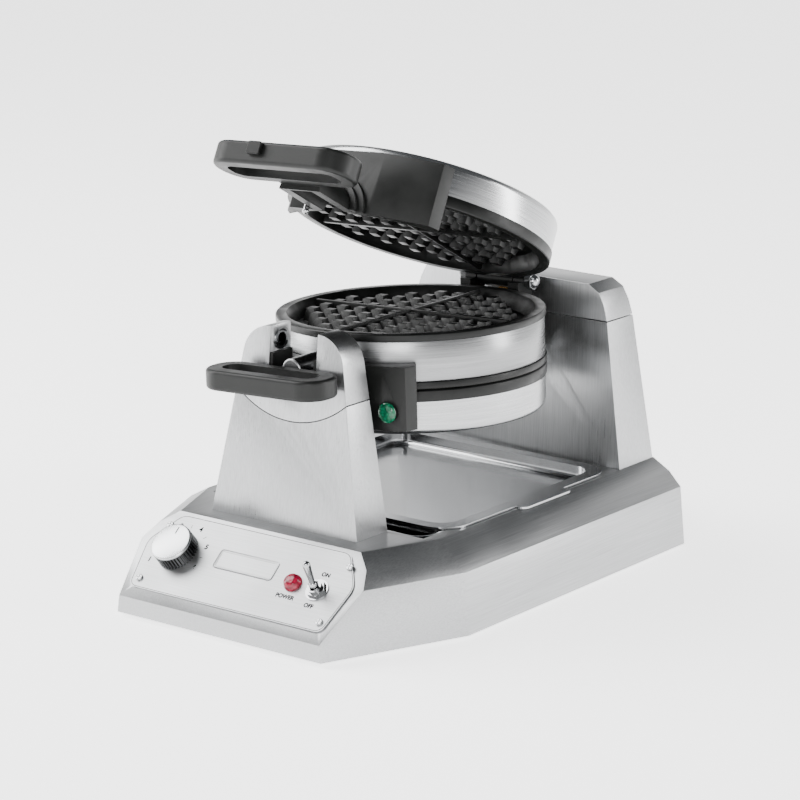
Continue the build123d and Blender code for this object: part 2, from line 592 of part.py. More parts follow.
def lid_bracket(plan):
    """A closed top lid's front skirt: flat front, angled ends, hugging the drum."""
    low = AXIS_Z + SKIRT_LOW
    high = AXIS_Z + SKIRT_HIGH
    solid = skirt_block(plan, low, high) - disc(RIM_R + 0.5, 0, 300)
    centre_x = sum(x for x, y in plan) / len(plan)
    shrink = 1 - SKIRT_WALL / 55.0
    inner = [(centre_x + (x - centre_x) * shrink, max(y, SKIRT_FRONT_Y) + SKIRT_WALL) for x, y in plan]
    hollow = skirt_block(inner, low + 2.5, high - 2.5) - disc(RIM_R + SKIRT_WALL, 0, 300)
    return solid - rod_y(10.5, -80, -60) - hollow


def handle(rise, size):
    """A closed top lid's handle: half-round neck and a ring grip with a finger slot."""
    half_width, front_y, height, corner = size
    low = AXIS_Z + rise
    grip = box(-half_width, half_width, front_y, HANDLE_BACK_Y, low, low + height)
    grip = fillet(grip.edges().filter_by(Axis.Z), corner)
    grip = fillet(grip.faces().filter_by(Axis.Z).edges(), 2.5)
    slot_half = half_width - GRIP_WIDTH
    slot = box(-slot_half, slot_half, front_y + 10, HANDLE_BACK_Y - 9.5, low - 5, low + 30)
    slot = fillet(slot.edges().filter_by(Axis.Z), 7.5)
    neck = rod_y(NECK_R, HANDLE_BACK_Y - 5, SKIRT_FRONT_Y - 0.1)
    neck &= box(-40, 40, -200, 0, AXIS_Z + HALVES_GAP, 400)
    neck -= rod_y(NECK_BORE, HANDLE_BACK_Y + 2, -60)
    if rise > 0:
        neck -= box(-40, 40, -200, HANDLE_BACK_Y + HALVES_GAP, AXIS_Z, low)
    return grip - slot + neck


def hinge_leaf():
    """A closed top lid's hinge leaf: knuckle on the pin, arm to the back of the lid."""
    z_pin = AXIS_Z + HINGE_RISE
    low = AXIS_Z + MIDDLE_HALF + LID_GAP + LID_RIM + 0.8
    half = EAR_INNER - 1.0
    arm = box(-half, half, 112, HINGE_Y, low, low + LEAF_THICKNESS) - disc(BAND_R + 0.02, 0, 300)
    arm += box(-half, half, 122.0, HINGE_Y + 5.5, z_pin, z_pin + 10.5)
    leaf = arm + rod_x(6.0, -half, half, HINGE_Y, z_pin)
    return leaf - rod_x(PIN_R + 0.05, -40, 40, HINGE_Y, z_pin)


def lid_pieces():
    """The open top lid and the closed bottom lid, which is the same lid the other way up."""
    shell = lid_shell()
    plate = lid_plate()
    element = heating_element(ELEMENT_R, AXIS_Z + MIDDLE_HALF + LID_GAP + LID_RIM + 7.0 + 3.4)
    boss = rod_y(BOSS_R, SKIRT_FRONT_Y - 3.0, SKIRT_FRONT_Y)
    boss += rod_y(BOSS_R - 4.5, SKIRT_FRONT_Y - 6.0, SKIRT_FRONT_Y)
    boss &= box(-15, 40, -100, 0, AXIS_Z + SKIRT_LOW, 300)
    boss -= rod_y(NECK_R + 0.1, -100, 0)
    top_bracket = lid_bracket(TOP_SKIRT) + boss
    leaf = hinge_leaf()
    save("top_lid_shell", opened(shell))
    save("top_lid_plate", opened(plate))
    save("top_heating_element", opened(element))
    save("top_lid_bracket", opened(top_bracket))
    top_handle = handle(HANDLE_RISE + HALVES_GAP, TOP_HANDLE)
    top_handle -= rod_y(LATCH_PIN_R + 0.05, LATCH_AT[1] - 1, LATCH_AT[1] + 5, LATCH_AT[0], LATCH_AT[2])
    save("top_handle", opened(top_handle))
    save("top_hinge_leaf", opened(leaf))
    pin_x, pin_y = LOCK_PIN_AT
    pin_low = AXIS_Z - 2.5
    pin_high = AXIS_Z + 15.0
    pin = disc(LOCK_PIN_R, pin_low, pin_high, pin_x, pin_y)
    pin += Pos(pin_x, pin_y, pin_low) * Sphere(LOCK_PIN_R + 0.4)
    pin += Pos(pin_x, pin_y, pin_high) * Sphere(LOCK_PIN_R + 0.3)
    pin += rod_y(LOCK_PIN_R - 0.3, pin_y, SKIRT_FRONT_Y - 0.02, pin_x, pin_high)
    save("lock_pin", opened(pin))

    lamp_x, lamp_z = READY_LAMP_AT
    hole = rod_y(6.0, -80, -60, lamp_x, lamp_z)
    save("bottom_lid_shell", tipped(flipped(shell)))
    save("bottom_lid_plate", tipped(flipped(plate)))
    save("bottom_heating_element", tipped(flipped(element)))
    save("bottom_lid_bracket", tipped(flipped(lid_bracket(BOTTOM_SKIRT)) - hole))
    save("bottom_handle", tipped(flipped(handle(-HANDLE_RISE, BOTTOM_HANDLE))))
    save("bottom_hinge_leaf", tipped(flipped(leaf)))
    lens = rod_y(READY_LAMP_R, SKIRT_FRONT_Y - 3.0, SKIRT_FRONT_Y - 0.1, lamp_x, lamp_z)
    lens = fillet(lens.edges().filter_by(GeomType.CIRCLE).sort_by(Axis.Y)[0], 1.6)
    save("ready_lamp_lens", tipped(lens))
    save("ready_lamp_body", tipped(rod_y(5.9, -73.55, -66.0, lamp_x, lamp_z)))


def latch_piece():
    """The small turning catch on the top handle's front, with its pivot in the handle."""
    x, y, z = LATCH_AT
    width, depth, height = LATCH_SIZE
    body = box(x - width / 2, x + width / 2, y - depth - 0.3, y - 0.3, z - height / 2, z + height / 2)
    body = fillet(body.edges().filter_by(Axis.Y), 1.5)
    body = fillet(body.faces().sort_by(Axis.Y)[0].edges(), 0.6)
    save("handle_latch", opened(body + rod_y(LATCH_PIN_R, y - 1.0, y + 4.0, x, z)))


os.makedirs("parts", exist_ok=True)
base_pieces()
panel_pieces()
inner_pieces()
post_pieces()
tray_piece()
middle_pieces()
hinge_pieces()
lid_pieces()
latch_piece()
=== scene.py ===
"""Rotary double waffle maker: finishes, printing and fine detail around the CAD frame.

Metres, +Z up, -Y is the operator's side. Each operator makes one piece or one group of like pieces.
"""
import math

import bmesh
import bpy
from mathutils import Matrix, Vector


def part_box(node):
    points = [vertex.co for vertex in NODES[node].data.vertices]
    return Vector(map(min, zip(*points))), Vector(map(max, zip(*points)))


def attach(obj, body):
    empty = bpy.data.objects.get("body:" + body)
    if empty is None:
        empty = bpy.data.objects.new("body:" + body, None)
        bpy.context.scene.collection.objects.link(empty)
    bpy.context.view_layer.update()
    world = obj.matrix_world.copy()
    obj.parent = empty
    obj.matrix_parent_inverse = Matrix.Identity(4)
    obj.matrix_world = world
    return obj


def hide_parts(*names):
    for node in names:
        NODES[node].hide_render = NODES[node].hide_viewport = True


bl_info = {
    "name": "Rotary Double Waffle Maker",
    "version": (1, 0, 0),
    "blender": (4, 5, 0),
    "location": "View3D > Sidebar > Waffle Maker",
    "description": "Finishes and fine detail for a countertop rotary double waffle maker",
    "category": "Object",
}

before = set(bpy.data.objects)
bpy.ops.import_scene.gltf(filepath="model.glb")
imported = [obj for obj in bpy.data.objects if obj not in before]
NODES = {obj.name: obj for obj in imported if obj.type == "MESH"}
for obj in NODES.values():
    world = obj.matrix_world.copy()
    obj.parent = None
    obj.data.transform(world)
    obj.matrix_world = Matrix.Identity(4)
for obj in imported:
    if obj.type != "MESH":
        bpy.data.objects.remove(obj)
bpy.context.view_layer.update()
MM = 0.001

# The sloped control face: its low edge on the middle plane, and its slope.
PANEL_LOW = Vector((0.0, -0.190, 0.015))
PANEL_SLOPE = math.atan2(0.0486, 0.055)
PANEL_SKIN = 1.2 * MM
# the knob, whose face stands a little proud of its grip
KNOB_AT = (-59.0 * MM, 42.0 * MM)
KNOB_TOP = 12.5 * MM
GRIP_R = 15.1 * MM
FLUTE_R = 13.6 * MM
# the dial's first number, and the turn to each next one
DIAL_START = math.radians(210.0)
DIAL_STEP = math.radians(47.0)
LAMP_AT = (41.8 * MM, 39.0 * MM)
TOGGLE_AT = (62.5 * MM, 38.0 * MM)
BADGE_AT = (-1.0 * MM, 44.0 * MM)
PANEL_SCREWS_AT = [(x * MM, y * MM) for x, y in ((-76.5, 15.7), (77.4, 15.7), (-77.0, 60.0), (77.0, 60.0))]

# The drum: its axis height, its middle along Y, and how it and the open lid lean at rest.
AXIS_Z = 0.17015
DRUM_Y = 0.0239
DRUM_TIP = math.radians(-3.0)
HINGE_Y = 0.133
HINGE_RISE = 0.02285
LID_OPEN = math.radians(28.0)
BAND_R = 93.7 * MM
BAND_HALF = 13.9 * MM
CASING_WALL = 1.5 * MM
# a lid casing's two ends, measured from the drum's axis
CASING_LOW = 27.6 * MM
CASING_HIGH = 51.0 * MM
ROUND_STEPS = 160


# ---- sizes and colours a user would change ------------------------------------------------
def hex_colour(name, description, value):
    """A colour property whose default is an sRGB hex value."""
    return bpy.props.FloatVectorProperty(
        name=name, description=description, default=srgb(value), size=3, min=0.0, max=1.0, subtype="COLOR"
    )


def srgb(value):
    """An sRGB hex value as three linear numbers."""
    parts = [int(value[i:i + 2], 16) / 255.0 for i in (1, 3, 5)]
    return tuple(p / 12.92 if p <= 0.04045 else ((p + 0.055) / 1.055) ** 2.4 for p in parts)


class WaffleMakerSizes(bpy.types.PropertyGroup):
    """Sizes of the fine detail."""

    sheet_edge: bpy.props.FloatProperty(
        name="Sheet Edge", description="Rounding of the folded steel's edges", default=0.9 * MM, unit="LENGTH"
    )
    cast_edge: bpy.props.FloatProperty(
        name="Casting Edge", description="Rounding of the cast grid's edges", default=0.7 * MM, unit="LENGTH"
    )
    moulded_edge: bpy.props.FloatProperty(
        name="Moulded Edge", description="Rounding of the plastic brackets' edges", default=1.0 * MM,
        unit="LENGTH"
    )
    flutes: bpy.props.IntProperty(
        name="Knob Flutes", description="Grip flutes round the dial knob", default=40, min=12, max=72
    )
    numeral_height: bpy.props.FloatProperty(
        name="Numeral Height", description="Cap height of the dial numbers", default=3.6 * MM, unit="LENGTH"
    )
    label_height: bpy.props.FloatProperty(
        name="Label Height", description="Cap height of the switch and lamp words", default=3.0 * MM,
        unit="LENGTH"
    )
    dial_radius: bpy.props.FloatProperty(
        name="Dial Radius", description="Distance of the dial numbers from the knob's middle",
        default=21.5 * MM, unit="LENGTH"
    )


class WaffleMakerColours(bpy.types.PropertyGroup):
    """Base colours of the finishes."""

    steel: hex_colour("Stainless", "Brushed stainless sheet", "#adaeaf")
    bright: hex_colour("Bright Steel", "Polished stainless and chrome", "#a8a9aa")
    coating: hex_colour("Grid Coating", "Non-stick coating on the cast grids", "#0b0c0b")
    plastic: hex_colour("Handle Plastic", "Heat-resistant moulded plastic", "#101110")
    power: hex_colour("Power Lens", "Red lamp lens", "#8a0a2c")
    ready: hex_colour("Ready Lens", "Green lamp lens", "#0b5c3f")
    ink: hex_colour("Ink", "Printed words and numbers", "#060606")


def sizes():
    """The scene's detail sizes."""
    return bpy.context.scene.waffle_maker_sizes


def colour(name):
    """One of the scene's colours with full alpha."""
    return (*getattr(bpy.context.scene.waffle_maker_colours, name), 1.0)


# ---- materials ----------------------------------------------------------------------------
def add(tree, kind, inputs=None, **settings):
    """Adds one node. settings are its properties; inputs maps a socket to a value or to an output."""
    made = tree.nodes.new("ShaderNode" + kind)
    for name, value in settings.items():
        setattr(made, name, value)
    for name, value in (inputs or {}).items():
        if isinstance(value, bpy.types.NodeSocket):
            tree.links.new(value, made.inputs[name])
        else:
            made.inputs[name].default_value = value
    return made


def material(name):
    """A new node material: its tree, its shader and its object coordinates."""
    made = bpy.data.materials.new(name)
    made.use_nodes = True
    tree = made.node_tree
    shader = tree.nodes["Principled BSDF"]
    place = add(tree, "TexCoord").outputs["Object"]
    return made, tree, shader, place


def between(tree, factor, low, high):
    """A colour ramp from low to high as factor goes from 0.3 to 0.7."""
    ramp = add(tree, "ValToRGB", {"Fac": factor})
    ramp.color_ramp.elements[0].position = 0.3
    ramp.color_ramp.elements[0].color = low
    ramp.color_ramp.elements[1].position = 0.7
    ramp.color_ramp.elements[1].color = high
    return ramp.outputs["Color"]


def shade(rgba, amount):
    """The colour made lighter or darker by a factor."""
    return (*[min(1.0, c * amount) for c in rgba[:3]], 1.0)


def grain_scale(along_mm, across_mm, axes):
    """Noise cells per metre: long along the brushing axes, narrow across them."""
    return [1.0 / ((along_mm if axis in axes else across_mm) * MM) for axis in "XYZ"]


def brushed_stainless(name, rgba, axes, turn=(0.0, 0.0, 0.0), roughness=(0.26, 0.42), across_mm=0.55,
                      depth=0.010):
    """304 stainless sheet with a belt-brushed grain: long scratches that spread highlights across them.

    The real scratches are about 0.05 mm apart; they are drawn 0.4 to 0.9 mm apart so that they show.
    """
    made, tree, shader, place = material(name)
    turned = add(tree, "Mapping", {"Vector": place, "Rotation": turn}).outputs["Vector"]
    grain_place = add(tree, "Mapping", {"Vector": turned, "Scale": grain_scale(55.0, across_mm, axes)})
    grain = add(tree, "TexNoise", {"Vector": grain_place.outputs["Vector"], "Scale": 1.0, "Detail": 4.0,
                                   "Roughness": 0.65})
    # handling and rolling leave faint cloudy patches about 60 mm across
    cloud = add(tree, "TexNoise", {"Vector": place, "Scale": 16.0, "Detail": 2.0})
    both = add(tree, "Math", {0: grain.outputs["Fac"], 1: cloud.outputs["Fac"]}, operation="MULTIPLY_ADD")
    both.inputs[2].default_value = 0.24
    tint = between(tree, grain.outputs["Fac"], shade(rgba, 0.78), shade(rgba, 1.08))
    tree.links.new(tint, shader.inputs["Base Color"])
    rough = add(tree, "MapRange", {"Value": both.outputs["Value"], "From Min": 0.35, "From Max": 0.65,
                                   "To Min": roughness[0], "To Max": roughness[1]})
    tree.links.new(rough.outputs["Result"], shader.inputs["Roughness"])
    bump = add(tree, "Bump", {"Height": grain.outputs["Fac"], "Strength": 0.35, "Distance": depth * MM * 4})
    tree.links.new(bump.outputs["Normal"], shader.inputs["Normal"])
    shader.inputs["Metallic"].default_value = 1.0
    return made


def polished_steel(name, rgba, roughness=(0.10, 0.18), smudge_mm=22.0, ripple=0.02):
    """Stainless or chrome polished on a mop: nearly a mirror, with soft smudges and a very slight ripple."""
    made, tree, shader, place = material(name)
    smudge = add(tree, "TexNoise", {"Vector": place, "Scale": 1.0 / (smudge_mm * MM), "Detail": 5.0,
                                    "Roughness": 0.6})
    tint = between(tree, smudge.outputs["Fac"], shade(rgba, 0.93), rgba)
    tree.links.new(tint, shader.inputs["Base Color"])
    rough = add(tree, "MapRange", {"Value": smudge.outputs["Fac"], "From Min": 0.3, "From Max": 0.7,
                                   "To Min": roughness[0], "To Max": roughness[1]})
    tree.links.new(rough.outputs["Result"], shader.inputs["Roughness"])
    wave = add(tree, "TexNoise", {"Vector": place, "Scale": 45.0, "Detail": 1.0})
    bump = add(tree, "Bump", {"Height": wave.outputs["Fac"], "Strength": 0.3, "Distance": ripple * MM})
    tree.links.new(bump.outputs["Normal"], shader.inputs["Normal"])
    shader.inputs["Metallic"].default_value = 1.0
    return made


def turned_metal(name, rgba, centre, tilt, ring_mm=0.8, roughness=(0.22, 0.36)):
    """Metal faced or turned on a lathe: fine rings round its axis that pull highlights into a bow tie.

    The tool marks are about 0.1 mm apart on the real piece; they are drawn 0.8 mm apart so that they show.
    """
    made, tree, shader, place = material(name)
    to_axis = (Matrix.Translation(centre) @ Matrix.Rotation(tilt[1], 4, tilt[0])).inverted()
    moved = add(tree, "Mapping", {"Vector": place, "Location": to_axis.to_translation(),
                                  "Rotation": to_axis.to_euler()})
    rings = add(tree, "TexWave", {"Vector": moved.outputs["Vector"], "Scale": 0.314 / (ring_mm * MM),
                                  "Distortion": 0.6, "Detail": 2.0}, wave_type="RINGS", rings_direction="Z")
    tint = between(tree, rings.outputs["Fac"], shade(rgba, 0.9), rgba)
    tree.links.new(tint, shader.inputs["Base Color"])
    rough = add(tree, "MapRange", {"Value": rings.outputs["Fac"], "To Min": roughness[0],
                                   "To Max": roughness[1]})
    tree.links.new(rough.outputs["Result"], shader.inputs["Roughness"])
    bump = add(tree, "Bump", {"Height": rings.outputs["Fac"], "Strength": 0.12, "Distance": 0.02 * MM})
    tree.links.new(bump.outputs["Normal"], shader.inputs["Normal"])
    shader.inputs["Metallic"].default_value = 1.0
    return made


def coated_casting(name, rgba):
    """Sand-cast aluminium under a sprayed and baked non-stick coat: dark, softly shiny, faintly pebbled.

    The coat's orange-peel is about 0.7 mm; oil and heat leave slightly duller patches 15 mm across.
    """
    made, tree, shader, place = material(name)
    peel = add(tree, "TexNoise", {"Vector": place, "Scale": 1.0 / (0.7 * MM), "Detail": 3.0})
    patch = add(tree, "TexNoise", {"Vector": place, "Scale": 1.0 / (15.0 * MM), "Detail": 4.0})
    tint = between(tree, patch.outputs["Fac"], shade(rgba, 0.75), shade(rgba, 1.35))
    tree.links.new(tint, shader.inputs["Base Color"])
    rough = add(tree, "MapRange", {"Value": patch.outputs["Fac"], "From Min": 0.3, "From Max": 0.7,
                                   "To Min": 0.30, "To Max": 0.46})
    tree.links.new(rough.outputs["Result"], shader.inputs["Roughness"])
    bump = add(tree, "Bump", {"Height": peel.outputs["Fac"], "Strength": 0.35, "Distance": 0.06 * MM})
    tree.links.new(bump.outputs["Normal"], shader.inputs["Normal"])
    shader.inputs["IOR"].default_value = 1.5
    shader.inputs["Specular IOR Level"].default_value = 0.24
    return made


def moulded_plastic(name, rgba, texture_mm=0.5, roughness=(0.36, 0.5), depth=0.05):
    """Glass-filled thermoset moulded in a spark-eroded tool: dark, a fine even texture and a satin sheen."""
    made, tree, shader, place = material(name)
    spark = add(tree, "TexVoronoi", {"Vector": place, "Scale": 1.0 / (texture_mm * MM)}, feature="SMOOTH_F1")
    flow = add(tree, "TexNoise", {"Vector": place, "Scale": 1.0 / (18.0 * MM), "Detail": 4.0,
                                  "Roughness": 0.6})
    tint = between(tree, flow.outputs["Fac"], shade(rgba, 0.85), shade(rgba, 1.18))
    tree.links.new(tint, shader.inputs["Base Color"])
    rough = add(tree, "MapRange", {"Value": flow.outputs["Fac"], "From Min": 0.3, "From Max": 0.7,
                                   "To Min": roughness[0], "To Max": roughness[1]})
    tree.links.new(rough.outputs["Result"], shader.inputs["Roughness"])
    bump = add(tree, "Bump", {"Height": spark.outputs["Distance"], "Strength": 0.3, "Distance": depth * MM})
    tree.links.new(bump.outputs["Normal"], shader.inputs["Normal"])
    shader.inputs["IOR"].default_value = 1.52
    shader.inputs["Specular IOR Level"].default_value = 0.24
    return made


def faceted_lens(name, rgba, glow):
    """Clear tinted polycarbonate lens with moulded prisms about 2.2 mm across behind a smooth face."""
    made, tree, shader, place = material(name)
    prisms = add(tree, "TexVoronoi", {"Vector": place, "Scale": 1.0 / (2.2 * MM)})
    dark = shade(rgba, 0.45)
    ramp = add(tree, "ValToRGB", {"Fac": prisms.outputs["Distance"]})
    ramp.color_ramp.elements[0].color = shade(rgba, 1.35)
    ramp.color_ramp.elements[1].position = 0.75
    ramp.color_ramp.elements[1].color = dark
    tree.links.new(ramp.outputs["Color"], shader.inputs["Base Color"])
    tree.links.new(ramp.outputs["Color"], shader.inputs["Emission Color"])
    bump = add(tree, "Bump", {"Height": prisms.outputs["Distance"], "Strength": 0.5, "Distance": 0.5 * MM})
    tree.links.new(bump.outputs["Normal"], shader.inputs["Normal"])
    shader.inputs["Emission Strength"].default_value = glow
    shader.inputs["Roughness"].default_value = 0.16
    shader.inputs["Specular IOR Level"].default_value = 0.3
    shader.inputs["IOR"].default_value = 1.58
    shader.inputs["Coat Weight"].default_value = 0.15
    shader.inputs["Coat Roughness"].default_value = 0.04
    return made


def printed_ink(name, rgba):
    """Screen-printed epoxy ink: a thin dark film with a slightly uneven edge-to-edge thickness."""
    made, tree, shader, place = material(name)
    film = add(tree, "TexNoise", {"Vector": place, "Scale": 1.0 / (1.2 * MM), "Detail": 3.0})
    tint = between(tree, film.outputs["Fac"], shade(rgba, 0.7), shade(rgba, 1.5))
    tree.links.new(tint, shader.inputs["Base Color"])
    bump = add(tree, "Bump", {"Height": film.outputs["Fac"], "Strength": 0.2, "Distance": 0.02 * MM})
    tree.links.new(bump.outputs["Normal"], shader.inputs["Normal"])
    shader.inputs["Roughness"].default_value = 0.9
    shader.inputs["Specular IOR Level"].default_value = 0.05
    return made


def rubber(name):
    """Moulded nitrile rubber: near black, dull, with a dusty bloom in patches."""
    made, tree, shader, place = material(name)
    bloom = add(tree, "TexNoise", {"Vector": place, "Scale": 1.0 / (4.0 * MM), "Detail": 5.0})
    low, high = (*srgb("#141414"), 1.0), (*srgb("#2b2b2a"), 1.0)
    tree.links.new(between(tree, bloom.outputs["Fac"], low, high), shader.inputs["Base Color"])
    bump = add(tree, "Bump", {"Height": bloom.outputs["Fac"], "Strength": 0.3, "Distance": 0.1 * MM})
    tree.links.new(bump.outputs["Normal"], shader.inputs["Normal"])
    shader.inputs["Roughness"].default_value = 0.8
    return made


def sintered_bronze(name):
    """Oil-soaked sintered bronze: brown-gold, finely pitted, half dull."""
    made, tree, shader, place = material(name)
    pits = add(tree, "TexVoronoi", {"Vector": place, "Scale": 1.0 / (0.6 * MM)})
    low, high = (*srgb("#5f4526"), 1.0), (*srgb("#a98450"), 1.0)
    tree.links.new(between(tree, pits.outputs["Distance"], low, high), shader.inputs["Base Color"])
    bump = add(tree, "Bump", {"Height": pits.outputs["Distance"], "Strength": 0.4, "Distance": 0.05 * MM})
    tree.links.new(bump.outputs["Normal"], shader.inputs["Normal"])
    shader.inputs["Metallic"].default_value = 1.0
    shader.inputs["Roughness"].default_value = 0.45
    return made


def heater_sheath(name):
    """Nickel alloy element sheath after many heats: brown-grey oxide with straw and blue patches."""
    made, tree, shader, place = material(name)
    heat = add(tree, "TexNoise", {"Vector": place, "Scale": 1.0 / (25.0 * MM), "Detail": 4.0})
    ramp = add(tree, "ValToRGB", {"Fac": heat.outputs["Fac"]})
    ramp.color_ramp.elements[0].position = 0.3
    ramp.color_ramp.elements[0].color = (*srgb("#4b4a55"), 1.0)
    ramp.color_ramp.elements[1].position = 0.7
    ramp.color_ramp.elements[1].color = (*srgb("#6b5740"), 1.0)
    tree.links.new(ramp.outputs["Color"], shader.inputs["Base Color"])
    shader.inputs["Metallic"].default_value = 0.8
    shader.inputs["Roughness"].default_value = 0.55
    return made


MADE = {}


def finish(name):
    """One of this machine's finishes, made once."""
    if name in MADE:
        return MADE[name]
    drum_turn = tipped().to_3x3().inverted().to_euler()
    lid_turn = opened().to_3x3().inverted().to_euler()
    steel = colour("steel")
    # the same stainless is painted a third darker on the band as painted shade, and a tenth lighter on the
    # lid casings as painted light
    shaded_band_steel = shade(steel, 0.66)
    lit_lid_steel = shade(steel, 1.1)
    # the knob's chrome is painted down to a third of its brightness: a painted dark reflection in its flutes
    dark_reflection_grip_steel = shade(colour("bright"), 0.34)
    makers = {
        "upright_sheet": lambda: brushed_stainless("Brushed stainless, upright grain", steel, "Z"),
        "base_sheet": lambda: brushed_stainless("Brushed stainless, grain along the base", steel, "Y",
                                                roughness=(0.30, 0.44)),
        "panel_sheet": lambda: brushed_stainless("Satin stainless control plate", shade(steel, 1.03), "X",
                                                 roughness=(0.36, 0.48), across_mm=0.4, depth=0.006),
        "shaded_band_sheet": lambda: brushed_stainless("Brushed stainless band, painted shade", shaded_band_steel, "XY",
                                                drum_turn, roughness=(0.24, 0.36), across_mm=0.9),
        # the drum's and the lid's casings take the steel painted lighter as painted light
        "drum_sheet": lambda: brushed_stainless("Brushed stainless, grain round the drum", lit_lid_steel, "XY",
                                                drum_turn, roughness=(0.22, 0.34), across_mm=0.9),
        "lid_sheet": lambda: brushed_stainless("Brushed stainless, grain round the lid", lit_lid_steel, "XY",
                                               lid_turn, roughness=(0.20, 0.32), across_mm=0.9),
        "tray_sheet": lambda: polished_steel("Polished stainless tray", colour("bright"), (0.12, 0.22)),
        "bright": lambda: polished_steel("Chrome plate", colour("bright"), (0.06, 0.12), 8.0),
        # the turned steel is painted about a quarter darker than the sheet: painted shade for the spindle
        # sitting in the front post's notch
        "machined": lambda: turned_metal("Turned steel, painted shade", shade(steel, 0.72), Vector((0, 0, AXIS_Z)),
                                         ("X", math.pi / 2)),
        "knob_grip": lambda: polished_steel("Chromed knob grip, painted dark reflection", dark_reflection_grip_steel, (0.12, 0.22), 5.0),
        "knob_face": lambda: turned_metal("Spun aluminium knob face", shade(steel, 1.5),
                                          panel_point(KNOB_AT, 0.0), ("X", PANEL_SLOPE), 0.9, (0.24, 0.38)),
        "coating": lambda: coated_casting("Non-stick coated cast aluminium", colour("coating")),
        "plastic": lambda: moulded_plastic("Glass-filled thermoset, textured", colour("plastic")),
        "nylon": lambda: moulded_plastic("Black nylon", shade(colour("plastic"), 0.5), 0.4, (0.4, 0.55)),
        "red_lens": lambda: faceted_lens("Red polycarbonate lens", colour("power"), 0.5),
        "green_lens": lambda: faceted_lens("Green polycarbonate lens", colour("ready"), 0.10),
        # this ink also paints the shadow line round the control plate's edge
        "ink": lambda: printed_ink("Black screen-printed ink", colour("ink")),
        "rubber": lambda: rubber("Nitrile rubber"),
        "bronze": lambda: sintered_bronze("Sintered bronze"),
        "heater": lambda: heater_sheath("Oxidised element sheath"),
    }
    MADE[name] = makers[name]()
    return MADE[name]


def paint(piece, finish_name):
    """Gives the whole piece one finish."""
    piece.data.materials.clear()
    piece.data.materials.append(finish(finish_name))
    return piece


# ---- mesh helpers -------------------------------------------------------------------------
def panel_point(at, height):
    """A point on the control face, height above the base's sheet."""
    up = Vector((0.0, math.cos(PANEL_SLOPE), math.sin(PANEL_SLOPE)))
    out = Vector((0.0, -math.sin(PANEL_SLOPE), math.cos(PANEL_SLOPE)))
    return PANEL_LOW + Vector((at[0], 0.0, 0.0)) + up * at[1] + out * height


def on_panel(at, height=0.0):
    """The place of a piece drawn on XY that stands on the control face."""
    return Matrix.Translation(panel_point(at, height)) @ Matrix.Rotation(PANEL_SLOPE, 4, "X")


def tipped():
    """From a level drum to the drum at rest."""
    axis = Vector((0.0, DRUM_Y, AXIS_Z))
    return Matrix.Translation(axis) @ Matrix.Rotation(DRUM_TIP, 4, "Y") @ Matrix.Translation(-axis)


def opened():
    """From a closed lid on a level drum to the open lid at rest."""
    hinge = Vector((0.0, HINGE_Y, AXIS_Z + HINGE_RISE))
    swung = tipped() @ Matrix.Translation(hinge) @ Matrix.Rotation(-LID_OPEN, 4, "X")
    return swung @ Matrix.Translation(-hinge)


def new_piece(bm, name, finish_name, body, place=None, smooth_angle=35.0):
    """Turns a bmesh into a named piece with its place in its mesh, riding on a body."""
    if place is not None:
        bmesh.ops.transform(bm, matrix=place, verts=bm.verts)
    bmesh.ops.recalc_face_normals(bm, faces=bm.faces)
    mesh = bpy.data.meshes.new(name)
    bm.to_mesh(mesh)
    bm.free()
    piece = bpy.data.objects.new(name, mesh)
    bpy.context.scene.collection.objects.link(piece)
    for face in mesh.polygons:
        face.use_smooth = True
    mesh.set_sharp_from_angle(angle=math.radians(smooth_angle))
    paint(piece, finish_name)
    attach(piece, body)
    return piece


def lathe(outline, steps=64):
    """A closed turned form: (radius, height) points from the axis out and back, spun round Z."""
    bm = bmesh.new()
    points = [bm.verts.new((radius, 0.0, height)) for radius, height in outline]
    edges = [bm.edges.new(pair) for pair in zip(points, points[1:])]
    bmesh.ops.spin(bm, geom=points + edges, axis=(0, 0, 1), cent=(0, 0, 0), angle=math.tau, steps=steps,
                   use_merge=True)
    bmesh.ops.remove_doubles(bm, verts=bm.verts, dist=1e-6)
    return bm


def softened(node, name, width, finish_name, body, segments=3):
    """Stands for a CAD node with the same form and rounded edges."""
    bm = bmesh.new()
    bm.from_mesh(NODES[node].data)
    bmesh.ops.remove_doubles(bm, verts=bm.verts, dist=1e-6)
    bmesh.ops.dissolve_limit(bm, angle_limit=math.radians(0.5), verts=bm.verts, edges=bm.edges)
    mesh = bpy.data.meshes.new(name)
    bm.to_mesh(mesh)
    bm.free()
    piece = bpy.data.objects.new(name, mesh)
    bpy.context.scene.collection.objects.link(piece)
    for face in mesh.polygons:
        face.use_smooth = True
    rounding = piece.modifiers.new("Rounded edges", "BEVEL")
    rounding.width = width
    rounding.segments = segments
    rounding.limit_method = "ANGLE"
    rounding.angle_limit = math.radians(28.0)
    rounding.use_clamp_overlap = True
    rounding.harden_normals = True
    paint(piece, finish_name)
    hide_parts(node)
    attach(piece, body)
    return piece


